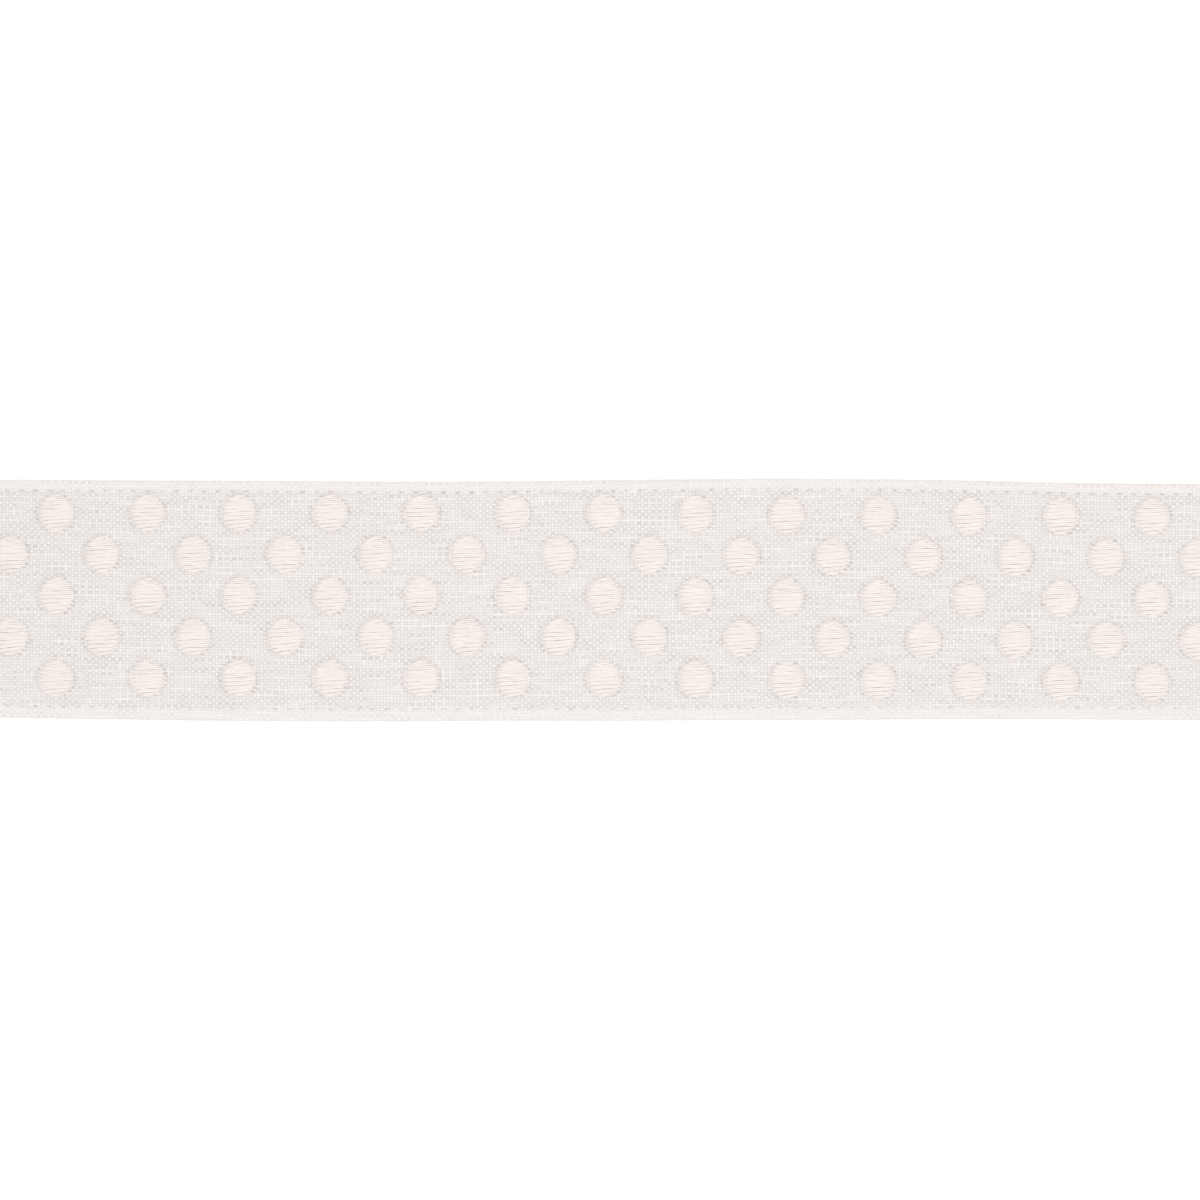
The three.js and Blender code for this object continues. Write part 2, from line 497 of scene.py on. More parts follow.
def satin_paths(sizes, row, points=17):
    """Satin threads of one row of dots. Each comes up out of one hole, is soon at full height, as 1 less e
    to the minus distance, and goes down into the other. It is squeezed thin in its holes, and lower towards
    the dot's top and bottom, as the cube of the way there. Gives paths and the threads' half widths and
    half heights along them."""
    most_squeezed = 0.6
    girth_scatter = 0.05
    crown_scatter = 0.02 * MM
    rim_drop = 0.16 * MM
    left, right, middles = satin_passes(sizes, row)
    dots, passes, _ = left.shape
    share = eased(points)
    seed = (row * dots + np.arange(dots)[:, None]) * passes + np.arange(passes)
    lines = satin_lines(sizes, left, right, seed, share)
    length = np.linalg.norm(right - left, axis=-1)[:, :, None]
    in_hole = np.exp(-np.minimum(share, 1 - share) * length / RISING_LENGTH)

    half_width = 0.5 * sizes.satin_thread
    half_height = THREAD_FLATNESS * half_width
    out = np.abs(lines[..., 1] - middles[:, None, None, 1]) / sizes.dot_radius
    lower = crown_scatter * (1 + scatter(seed * 7))[:, :, None]
    crown = DOT_CROWN - half_height - lower - rim_drop * out**3
    height = FACE_HEIGHT - HOLE_DEPTH + (crown + HOLE_DEPTH) * (1 - in_hole)
    paths = np.concatenate([lines, height[..., None]], axis=-1).reshape(dots * passes, points, 3)
    girth = (1 - most_squeezed * in_hole) * (1 + girth_scatter * scatter(seed * 2)[:, :, None])
    girth = girth.reshape(dots * passes, points)
    return paths, half_width * girth, half_height * girth


def back_paths(sizes, row, points=7):
    """Threads on the back of one row of dots: the same holes joined under the cloth by a thinner thread,
    which hangs down from hole to hole as the square root of half a wave."""
    inside = 0.1 * MM  # how far up in the cloth they start
    hang, hang_scatter = 0.11 * MM, 0.03 * MM
    flatness = 0.6
    left, right, _ = satin_passes(sizes, row)
    dots, passes, _ = left.shape
    share = eased(points)
    seed = (row * dots + np.arange(dots)[:, None]) * passes + np.arange(passes)
    drop = inside + hang + hang_scatter * scatter(seed * 5)[:, :, None]
    height = FACE_HEIGHT - sizes.cloth_thickness + inside - drop * np.sqrt(np.sin(np.pi * share))
    paths = np.concatenate([between(left, right, share), height[..., None]], axis=-1)
    paths = paths.reshape(dots * passes, points, 3)
    half_width = np.full(paths.shape[:2], 0.5 * sizes.sewing_thread)
    return paths, half_width, flatness * half_width


def edge_stitch_paths(sizes, under, points=9):
    """Running stitches along both hems, on the face or under the hem, each from one needle hole to the
    next. A stitch lies in the line that it has pulled in, a little askew, and both its ends go into the
    cloth: its height over them is half a wave to the power of 0.6."""
    hole_gap = 0.5 * MM  # from the end of one stitch to the start of the next
    side_scatter, askew = 0.03 * MM, 0.07 * MM
    face_start, face_rise, rise_scatter = 0.16 * MM, 0.23 * MM, 0.02 * MM
    under_start, under_drop = 0.17 * MM, 0.12 * MM
    end_width = 0.75  # as a share of the width at the middle
    flatness = 0.4 if under else 0.7
    count = int(RIBBON_LENGTH / sizes.stitch_pitch) - 1
    middle = (np.arange(count)[:, None] - (count - 1) / 2) * sizes.stitch_pitch
    share = eased(points)
    bow = np.sin(np.pi * share) ** 0.6
    x = middle + (share - 0.5) * (sizes.stitch_pitch - hole_gap)
    sides = []
    for side, column, inset in (
        (1, "far_edge", sizes.far_stitch_inset),
        (-1, "near_edge", sizes.near_stitch_inset),
    ):
        seed = 2 * np.arange(count)[:, None] + side
        y = side * (RIBBON_WIDTH / 2 - inset) + wander(column, x)
        y = y + side_scatter * scatter(seed) * bow + askew * (share - 0.5)
        if under:
            z = under_start - under_drop * bow + 0 * x
        else:
            rise = (face_rise + rise_scatter * scatter(seed * 3)) * bow
            z = hem_height(sizes) - STITCH_DIP - face_start + rise
        sides.append(np.stack([x, y, z], axis=-1))
    paths = np.concatenate(sides)
    girth = end_width + (1 - end_width) * np.sin(np.pi * share)
    half_width = 0.5 * sizes.sewing_thread * girth + 0 * paths[..., 0]
    return paths, half_width, flatness * half_width


# Meshes


def new_piece(name, points, faces, material):
    """A smooth mesh object from an array of points and a list of face arrays, each with one face to a row.
    It rides on the ribbon's only body."""
    mesh = bpy.data.meshes.new(name)
    corners = np.concatenate([group.ravel() for group in faces]).astype(np.int32)
    counts = np.concatenate([np.full(len(group), group.shape[1]) for group in faces])
    starts = np.concatenate([[0], np.cumsum(counts)[:-1]]).astype(np.int32)
    mesh.vertices.add(len(points))
    mesh.vertices.foreach_set("co", points.astype(np.float32).ravel())
    mesh.loops.add(len(corners))
    mesh.loops.foreach_set("vertex_index", corners)
    mesh.polygons.add(len(counts))
    mesh.polygons.foreach_set("loop_start", starts)
    mesh.polygons.foreach_set("use_smooth", np.ones(len(counts), dtype=bool))
    mesh.update(calc_edges=True)
    mesh.materials.append(material)
    piece = bpy.data.objects.new(name, mesh)
    bpy.context.scene.collection.objects.link(piece)
    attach(piece, BODY)
    return piece


def add_uv(piece, name, values):
    """A UV map with one (u, v) for each face corner, in the order of the faces."""
    layer = piece.data.uv_layers.new(name=name)
    layer.uv.foreach_set("vector", values.astype(np.float32).ravel())


def dot_offsets(points, faces):
    """For each face corner, its offset (x, y) from the dot that is nearest to the middle of the face."""
    offsets = []
    for group in faces:
        corner = points[group][..., :2]
        middle = corner.mean(axis=1)
        dot = middle - from_nearest_dot(middle[:, 0], middle[:, 1])
        offsets.append((corner - dot[:, None, :]).reshape(-1, 2))
    return np.concatenate(offsets)


def cloth_piece(name, sizes, material, stations=510):
    """The cloth: the closed outline of its section carried along X, with both cut ends closed. Its UV map
    "weave" holds the place on the flat cloth, and "dot" the offset from the nearest dot, both in metres."""
    points, out, kept, run = cloth_section(sizes)
    half_thick = sizes.cloth_thickness / 2
    outline = np.concatenate([points + out * half_thick, (points - out * half_thick)[kept][::-1]])
    outline_run = np.concatenate([run, run[kept][::-1]])
    x = np.linspace(RIBBON_LOW[0], RIBBON_HIGH[0], stations)
    laid = lay_section(outline, x, sizes).reshape(-1, 3)
    around = len(outline)
    index = np.arange(stations * around).reshape(stations, around)
    following = np.roll(index, -1, axis=1)
    quads = np.stack([index[:-1], index[1:], following[1:], following[:-1]], axis=-1).reshape(-1, 4)

    # A cut end is a strip of triangles between the face's line and the back's.
    joined = np.flatnonzero(kept)
    back = around - 1 - np.arange(len(joined))
    step = np.arange(len(points) - 1)
    owner = back[np.searchsorted(joined, step, side="right") - 1]
    fan = np.stack([owner, step, step + 1], axis=-1)
    close = np.stack([back[:-1], joined[1:], back[1:]], axis=-1)
    low_end = np.concatenate([fan, close])
    high_end = low_end[:, ::-1] + (stations - 1) * around

    faces = [quads, low_end, high_end]
    piece = new_piece(name, laid, faces, material)
    piece.data.set_sharp_from_angle(angle=np.radians(60))
    place = np.stack([np.repeat(x, around), np.tile(outline_run, stations)], axis=-1)
    add_uv(piece, "weave", place[np.concatenate([group.ravel() for group in faces])])
    add_uv(piece, "dot", dot_offsets(laid, faces))
    return piece


def thread_piece(name, paths, half_width, half_height, material, sides=8):
    """Threads as closed tubes: at each point of each path stands an oval ring, square to the path,
    half_width to both sides and half_height up, and both ends are closed to a point. The UV map "thread"
    holds the distance along the thread in metres, and the way round it from 0 to 1."""
    count, length, _ = paths.shape
    run = paths[:, -1] - paths[:, 0]
    side = np.stack([-run[:, 1], run[:, 0], 0 * run[:, 0]], axis=-1)
    side = (side / np.linalg.norm(side, axis=-1, keepdims=True))[:, None, :]
    ahead = np.gradient(paths, axis=1)
    ahead = ahead / np.linalg.norm(ahead, axis=-1, keepdims=True)
    up = np.cross(ahead, side)
    turn = 2 * np.pi * np.arange(sides)[:, None] / sides
    across = half_width[:, :, None, None] * np.cos(turn) * side[:, :, None, :]
    upward = half_height[:, :, None, None] * np.sin(turn) * up[:, :, None, :]
    rings = (paths[:, :, None, :] + across + upward).reshape(-1, 3)
    points = np.concatenate([rings, paths[:, 0], paths[:, -1]])

    index = np.arange(count * length * sides).reshape(count, length, sides)
    following = np.roll(index, -1, axis=2)
    quads = np.stack([index[:, :-1], index[:, 1:], following[:, 1:], following[:, :-1]], axis=-1)
    tip = len(rings) + np.arange(2 * count).reshape(2, count, 1) + np.zeros((1, 1, sides), dtype=int)
    low_fan = np.stack([tip[0], index[:, 0], following[:, 0]], axis=-1)
    high_fan = np.stack([tip[1], following[:, -1], index[:, -1]], axis=-1)
    faces = [quads.reshape(-1, 4), low_fan.reshape(-1, 3), high_fan.reshape(-1, 3)]
    piece = new_piece(name, points, faces, material)

    steps = np.linalg.norm(np.diff(paths, axis=1), axis=-1)
    along = np.cumsum(np.concatenate([np.zeros((count, 1)), steps], axis=1), axis=1)
    u = np.broadcast_to(along[:, :, None], index.shape)
    v = np.broadcast_to(np.arange(sides) / sides, index.shape)
    next_v = v + 1 / sides
    quad_u = np.stack([u[:, :-1], u[:, 1:], u[:, 1:], u[:, :-1]], axis=-1)
    quad_v = np.stack([v[:, :-1], v[:, 1:], next_v[:, 1:], next_v[:, :-1]], axis=-1)
    fan_u = np.stack([u[:, [0, -1]]] * 3, axis=-1)
    low_v = np.stack([v[:, 0], v[:, 0], next_v[:, 0]], axis=-1)
    high_v = np.stack([v[:, 0], next_v[:, 0], v[:, 0]], axis=-1)
    corner_u = np.concatenate([quad_u.ravel(), fan_u[:, 0].ravel(), fan_u[:, 1].ravel()])
    corner_v = np.concatenate([quad_v.ravel(), low_v.ravel(), high_v.ravel()])
    add_uv(piece, "thread", np.stack([corner_u, corner_v], axis=-1))
    return piece


# Materials


def add(tree, kind, inputs=None, out=0, **settings):
    """A shader node of one kind, such as "Math", with its settings. inputs gives each named or numbered
    input its value, or the output that feeds it. Gives back one of the node's outputs, by name or
    number."""
    node = tree.nodes.new("ShaderNode" + kind)
    for name, value in settings.items():
        setattr(node, name, value)
    for name, value in (inputs or {}).items():
        if isinstance(value, bpy.types.NodeSocket):
            tree.links.new(value, node.inputs[name])
        else:
            node.inputs[name].default_value = value
    return node.outputs[out]


def new_surface(name, **surface):
    """A material that is one Principled surface. Gives the material, its node tree and the surface's
    node."""
    material = bpy.data.materials.new(name)
    material.use_nodes = True
    tree = material.node_tree
    tree.nodes.clear()
    inputs = {given.replace("_", " "): value for given, value in surface.items()}
    shader = add(tree, "BsdfPrincipled", inputs)
    output = tree.nodes.new("ShaderNodeOutputMaterial")
    tree.links.new(shader, output.inputs["Surface"])
    return material, tree, shader.node


def uneven(tree, place, lengths, low, high, spread=0.2, detail=1.0):
    """A noise that changes over the given lengths of x and y, from low to high: what lies within spread of
    its middle is drawn out in a straight line, and the rest is held at the two ends."""
    scale = (1 / lengths[0], 1 / lengths[1], 0)
    place = add(tree, "VectorMath", {0: place, 1: scale}, operation="MULTIPLY")
    noise = add(tree, "TexNoise", {"Vector": place, "Scale": 1.0, "Detail": detail})
    return add(
        tree,
        "MapRange",
        {"Value": noise, "From Min": 0.5 - spread, "From Max": 0.5 + spread, "To Min": low, "To Max": high},
    )


def from_oval(tree, x, y, reach, height):
    """How far (x, y) is from the middle of an oval, 1 at its rim: the length of (x over reach, y over
    height)."""
    place = add(tree, "CombineXYZ", {"X": x, "Y": y})
    scale = (1 / reach, 1 / height, 0)
    place = add(tree, "VectorMath", {0: place, 1: scale}, operation="MULTIPLY")
    return add(tree, "VectorMath", {0: place}, out="Value", operation="LENGTH")


def among_threads(tree, place, sizes):
    """Where a place on the flat cloth is among its threads, in threads across and along from its middle:
    the place over the threads' pitches, plus a slow noise, so that they waver by up to a quarter of a
    thread."""
    waver_length = 6 * MM
    waver = 0.9  # from the noise's one end to the other, in threads
    noise = add(
        tree, "TexNoise", {"Vector": place, "Scale": 1 / waver_length}, out="Color", noise_dimensions="2D"
    )
    noise = add(
        tree,
        "VectorMath",
        {0: noise, 1: (waver, waver, 0), 2: (-waver / 2, -waver / 2, 0)},
        operation="MULTIPLY_ADD",
    )
    pitches = (1 / sizes.crosswise_pitch, 1 / sizes.lengthwise_pitch, 0)
    return add(tree, "VectorMath", {0: place, 1: pitches, 2: noise}, operation="MULTIPLY_ADD")


def thickness(tree, threads, lengthwise, every_other):
    """How thick a lengthwise thread is at each place, about 1: its own noise along it makes it thin, then
    thick as a slub, and every other thread is a tenth thicker."""
    step = 7.31  # from one thread to the next in the noise, so far that neighbours have nothing in common
    slub_length = 10  # in crosswise threads
    thin, slub = 0.47, 1.53
    along = add(tree, "SeparateXYZ", {0: threads}, out="X")
    place = add(tree, "CombineXYZ", {"X": lengthwise, "Y": along})
    thick = uneven(tree, place, (1 / step, slub_length), thin, slub, spread=0.16, detail=2.0)
    share = add(tree, "MapRange", {"Value": every_other, "To Min": 0.95, "To Max": 1.05})
    return add(tree, "Math", {0: thick, 1: share}, operation="MULTIPLY")


def plain_weave(tree, threads, number, thick):
    """Height of the woven face, from 0 in the gaps to about 1 on the thickest crowns. Which of the two
    crossing threads is on top changes from each crossing to the next. Each is round across, and rises over
    one thread and goes down under the next: half its height, times 1 less its roundness by distance
    squared, times 1 plus or minus its wave by a sine. The crosswise threads are flatter and even."""
    blend = 0.12
    parts = add(tree, "VectorMath", {0: threads}, operation="FRACTION")
    parts = add(tree, "SeparateXYZ", {0: parts}).node.outputs
    parity = add(tree, "Math", {0: number["X"], 1: number["Y"]}, operation="ADD")
    parity = add(tree, "Math", {0: parity, 1: 2.0}, operation="FLOORED_MODULO")
    heights = []
    for own, other, sign, half_height, roundness, wave, girth in (
        ("X", "Y", 1, 0.41, 0.57, 1.03, 1.0),
        ("Y", "X", -1, 0.345, 1.42, 0.87, thick),
    ):
        away = add(tree, "Math", {0: parts[own], 1: 2.0, 2: -1.0}, operation="MULTIPLY_ADD")
        away = add(tree, "Math", {0: away, 1: girth}, operation="DIVIDE")
        away = add(tree, "Math", {0: away, 1: away}, operation="MULTIPLY")
        rounded = add(tree, "Math", {0: away, 1: -roundness, 2: 1.0}, operation="MULTIPLY_ADD")
        over = add(tree, "Math", {0: parts[other], 1: np.pi}, operation="MULTIPLY")
        over = add(tree, "Math", {0: over}, operation="SINE")
        swing = sign * wave
        on_top = add(tree, "MapRange", {"Value": parity, "To Min": swing, "To Max": -swing})
        lift = add(tree, "Math", {0: over, 1: on_top, 2: 1.0}, operation="MULTIPLY_ADD")
        lift = add(tree, "Math", {0: lift, 1: half_height}, operation="MULTIPLY")
        height = add(tree, "Math", {0: rounded, 1: lift}, operation="MULTIPLY")
        heights.append(add(tree, "Math", {0: height, 1: girth}, operation="MULTIPLY"))
    return add(tree, "Math", {0: heights[0], 1: heights[1], 2: blend}, operation="SMOOTH_MAX")


def dot_holes(tree, offset, sizes):
    """How far a place is from the nearest needle hole of a dot, 1 at the hole's rim. Two holes are level
    with each other on lines a needle pitch apart, where x squared is the radius squared less y squared.
    They are slanting ovals, and those on the left are fainter, as if further away."""
    hole_reach, hole_height = 0.46 * MM, 0.2 * MM
    slant = 0.25
    left_fainter = 0.22
    last = int(2 * sizes.dot_radius / sizes.needle_pitch) / 2 - 0.5
    level = add(tree, "Math", {0: offset["Y"], 1: sizes.needle_pitch}, operation="DIVIDE")
    level = add(tree, "Math", {0: level}, operation="FLOOR")
    level = add(tree, "Math", {0: level, 1: 0.5}, operation="ADD")
    level = add(tree, "Clamp", {"Value": level, "Min": -last, "Max": last})
    level = add(tree, "Math", {0: level, 1: sizes.needle_pitch}, operation="MULTIPLY")
    rim = add(tree, "Math", {0: level, 1: level}, operation="MULTIPLY")
    rim = add(tree, "Math", {0: sizes.dot_radius**2, 1: rim}, operation="SUBTRACT")
    rim = add(tree, "Math", {0: rim}, operation="SQRT")
    out = add(tree, "Math", {0: offset["X"]}, operation="ABSOLUTE")
    out = add(tree, "Math", {0: out, 1: rim}, operation="SUBTRACT")
    up = add(tree, "Math", {0: offset["Y"], 1: level}, operation="SUBTRACT")
    to_right = add(tree, "Math", {0: offset["X"]}, operation="SIGN")
    to_right = add(tree, "Math", {0: to_right, 1: out}, operation="MULTIPLY")
    up = add(tree, "Math", {0: to_right, 1: slant, 2: up}, operation="MULTIPLY_ADD")
    hole = from_oval(tree, out, up, hole_reach, hole_height)
    left = add(tree, "Math", {0: offset["X"], 1: 0.0}, operation="LESS_THAN")
    return add(tree, "Math", {0: left, 1: left_fainter, 2: hole}, operation="MULTIPLY_ADD")


def edge_holes(tree, along, beside, near, sizes):
    """How far a place is from the nearest needle hole of the edge stitching, 1 at the hole's rim. A hole is
    an oval along the stitches. Those of the near edge lean, and are fainter, as if further away."""
    hole_length, hole_width = 0.75 * MM, 0.24 * MM
    lean = -0.4
    near_fainter = 0.35
    stitch = add(tree, "Math", {0: along, 1: sizes.stitch_pitch}, operation="DIVIDE")
    stitch = add(tree, "Math", {0: stitch, 1: 0.5}, operation="ADD")
    stitch = add(tree, "Math", {0: stitch}, operation="FRACT")
    stitch = add(tree, "Math", {0: stitch, 1: 0.5}, operation="SUBTRACT")
    stitch = add(tree, "Math", {0: stitch, 1: sizes.stitch_pitch}, operation="MULTIPLY")
    leaning = add(tree, "Math", {0: stitch, 1: near}, operation="MULTIPLY")
    leaning = add(tree, "Math", {0: leaning, 1: lean, 2: beside}, operation="MULTIPLY_ADD")
    hole = from_oval(tree, stitch, leaning, hole_length, hole_width)
    return add(tree, "Math", {0: near, 1: near_fainter, 2: hole}, operation="MULTIPLY_ADD")


def dot_shade(tree, offset, from_dot, sizes):
    """How deep the painted shade is on the cloth beside a dot, from 0 to 1: a faint ring of painted shade
    just inside the needle holes, where the threads' ends lie on it, and an oval patch of painted shadow
    beyond the far rim, where the dot keeps the light off. Each fades out as a smooth step."""
    ring_radius = sizes.dot_radius - 0.1 * MM
    ring_width = 0.65 * MM
    ring_depth = 0.05
    patch_middle = sizes.dot_radius + 0.3 * MM
    patch_reach, patch_height = 1.9 * MM, 0.6 * MM
    patch_depth = 0.16
    # Painted shade: the ring under the threads' ends.
    ring = add(tree, "Math", {0: from_dot, 1: ring_radius}, operation="SUBTRACT")
    ring = add(tree, "Math", {0: ring}, operation="ABSOLUTE")
    ring = add(
        tree,
        "MapRange",
        {"Value": ring, "From Min": 0.0, "From Max": ring_width, "To Min": ring_depth, "To Max": 0.0},
        interpolation_type="SMOOTHSTEP",
    )
    # Painted shadow: the oval patch beyond the dot's far rim, away from the light.
    patch = add(tree, "Math", {0: offset["Y"], 1: patch_middle}, operation="SUBTRACT")
    patch = from_oval(tree, offset["X"], patch, patch_reach, patch_height)
    patch = add(
        tree,
        "MapRange",
        {"Value": patch, "From Min": 0.0, "From Max": 1.0, "To Min": patch_depth, "To Max": 0.0},
        interpolation_type="SMOOTHSTEP",
    )
    return add(tree, "Math", {0: ring, 1: patch}, operation="ADD")


def painted_groove_shade(tree, beside, from_dot):
    """How deep the painted shade is in the groove along the line of edge stitches, from 0 to 1: it fades out
    in a straight line to both sides, and is deep where a dot comes close to it and faint elsewhere."""
    groove_reach, groove_depth = 0.24 * MM, 0.9
    close, clear = 3.6 * MM, 4.0 * MM
    faint = 0.17
    groove = add(tree, "Math", {0: beside}, operation="ABSOLUTE")
    groove = add(
        tree,
        "MapRange",
        {"Value": groove, "From Min": 0.0, "From Max": groove_reach, "To Min": groove_depth, "To Max": 0.0},
    )
    close_by = add(
        tree,
        "MapRange",
        {"Value": from_dot, "From Min": close, "From Max": clear, "To Min": 1.0, "To Max": faint},
    )
    return add(tree, "Math", {0: groove, 1: close_by}, operation="MULTIPLY")


def painted_shade_and_dents(tree, place, along, beside, near, sizes):
    """How deep in painted shade each place is, from 0 to 1: the painted shade of all the needle holes, some
    deep and some nearly closed, the painted shade and shadow beside the dots and the painted shade in the
    groove of the edge stitches, whichever is deepest."""
    hole_middle, hole_rim = 0.2, 1.25
    strength_length = 1.5 * MM
    offset = add(tree, "UVMap", uv_map="dot")
    from_dot = add(tree, "VectorMath", {0: offset}, out="Value", operation="LENGTH")
    offset = add(tree, "SeparateXYZ", {0: offset}).node.outputs
    at_dot = dot_holes(tree, offset, sizes)
    at_edge = edge_holes(tree, along, beside, near, sizes)
    # Painted shade at the needle holes: dark ovals that fade out to their rims, deeper in some lengths of
    # the cloth than in others.
    holes = add(tree, "Math", {0: at_dot, 1: at_edge}, operation="MINIMUM")
    holes = add(
        tree,
        "MapRange",
        {"Value": holes, "From Min": hole_middle, "From Max": hole_rim, "To Min": 1.0, "To Max": 0.0},
        interpolation_type="SMOOTHSTEP",
    )
    strength = uneven(tree, place, (strength_length, strength_length), 0.25, 1.0)
    holes = add(tree, "Math", {0: holes, 1: strength}, operation="MULTIPLY")
    shaded = dot_shade(tree, offset, from_dot, sizes)
    groove = painted_groove_shade(tree, beside, from_dot)
    deepest = add(tree, "Math", {0: holes, 1: shaded}, operation="MAXIMUM")
    return add(tree, "Math", {0: deepest, 1: groove}, operation="MAXIMUM")


def yarn_tone(tree, place, thread, every_other, weave, hem):
    """How light the cloth is, from 0 as the painted shade of its gaps to 1 as its crowns: the middle tone,
    which is a little paler on every other lengthwise thread, plus what the weave's height adds or takes
    away. That differs from crossing to crossing, and from looser to tighter lengths of the cloth. The hems
    lie on more cloth, so that their gaps are closed and carry less of the painted shade."""
    darkest_height = -0.11  # a little deeper than the gaps, which then aren't quite at the darkest
    darkest, lightest = -0.5, 0.4
    chance = add(tree, "TexWhiteNoise", {"Vector": thread}, out="Color", noise_dimensions="2D")
    chance = add(tree, "SeparateColor", {"Color": chance}).node.outputs
    height = add(tree, "MapRange", {"Value": chance["Red"], "To Min": 0.875, "To Max": 1.125})
    height = add(tree, "Math", {0: height, 1: weave}, operation="MULTIPLY")
    change = add(
        tree,
        "MapRange",
        {"Value": height, "From Min": darkest_height, "To Min": darkest, "To Max": lightest},
    )
    depth = add(tree, "MapRange", {"Value": chance["Green"], "To Min": 0.67, "To Max": 1.57})
    change = add(tree, "Math", {0: change, 1: depth}, operation="MULTIPLY")
    looseness = uneven(tree, place, (6 * MM, 1.8 * MM), 0.75, 1.25, spread=0.24)
    middle = add(tree, "MapRange", {"Value": every_other, "To Min": 0.53, "To Max": 0.58})
    tone = add(tree, "Math", {0: change, 1: looseness, 2: middle}, operation="MULTIPLY_ADD", use_clamp=True)
    closed = add(tree, "MapRange", {"Value": tone, "To Min": 0.44, "To Max": 0.94})
    return add(tree, "Mix", {"Factor": hem, "A": tone, "B": closed}, out="Result")


def woven_linen(sizes, colours):
    """Plain woven linen and cotton, pressed flat. To the eye it is matt and off-white: the crowns of the
    threads stand in a chequer with small gaps between, darkened with painted shade, the threads are uneven,
    thick and thin in turn, and each needle hole is a small hollow, darkened with painted shade."""
    material, tree, shader = new_surface(
        "plain_woven_linen", Roughness=0.92, IOR=1.5, Sheen_Weight=0.15, Sheen_Roughness=0.6
    )
    relief_height = 0.05 * MM
    # Painted shade: the warm grey that the cloth's colour is multiplied by in the needle holes, beside the
    # dots and in the stitch groove.
    painted_shade_colour = (0.76, 0.72, 0.7, 1.0)
    hem_ease_in, hem_ease_out = 0.2 * MM, 0.3 * MM

    place = add(tree, "UVMap", uv_map="weave")
    threads = among_threads(tree, place, sizes)
    thread = add(tree, "VectorMath", {0: threads}, operation="FLOOR")
    number = add(tree, "SeparateXYZ", {0: thread}).node.outputs
    every_other = add(tree, "Math", {0: number["Y"], 1: 2.0}, operation="FLOORED_MODULO")
    thick = thickness(tree, threads, number["Y"], every_other)
    weave = plain_weave(tree, threads, number, thick)

    # How far out a place is, moved so that both lines of stitches are equally far out.
    flat = add(tree, "SeparateXYZ", {0: place}).node.outputs
    near = add(tree, "Math", {0: flat["Y"], 1: 0.0}, operation="LESS_THAN")
    out = add(tree, "Math", {0: flat["Y"]}, operation="ABSOLUTE")
    further_in = sizes.near_stitch_inset - sizes.far_stitch_inset
    out = add(tree, "Math", {0: near, 1: further_in, 2: out}, operation="MULTIPLY_ADD")
    stitch_line = RIBBON_WIDTH / 2 - sizes.far_stitch_inset
    beside = add(tree, "Math", {0: out, 1: stitch_line}, operation="SUBTRACT")
    hem = add(
        tree,
        "MapRange",
        {"Value": beside, "From Min": -hem_ease_in, "From Max": hem_ease_out},
        interpolation_type="SMOOTHSTEP",
    )

    tone = yarn_tone(tree, place, thread, every_other, weave, hem)
    # The gaps' colour is painted shade between the threads, and the crowns' colour is the cloth's own.
    colour = add(
        tree,
        "Mix",
        {"Factor": tone, "A": tuple(colours.painted_gap_shade), "B": tuple(colours.cloth)},
        out="Result",
        data_type="RGBA",
    )
    # Painted shade: the needle holes, the ring and shadow beside each dot and the stitch groove darken the
    # colour, and the same mask dents the bump.
    shade_and_dent = painted_shade_and_dents(tree, place, flat["X"], beside, near, sizes)
    colour = add(
        tree,
        "Mix",
        {"Factor": shade_and_dent, "A": colour, "B": painted_shade_colour},
        out="Result",
        data_type="RGBA",
        blend_type="MULTIPLY",
    )
    tree.links.new(colour, shader.inputs["Base Color"])
    relief = add(tree, "Math", {0: weave, 1: shade_and_dent}, operation="SUBTRACT")
    normal = add(tree, "Bump", {"Strength": 1.0, "Distance": relief_height, "Height": relief})
    tree.links.new(normal, shader.inputs["Normal"])
    return material


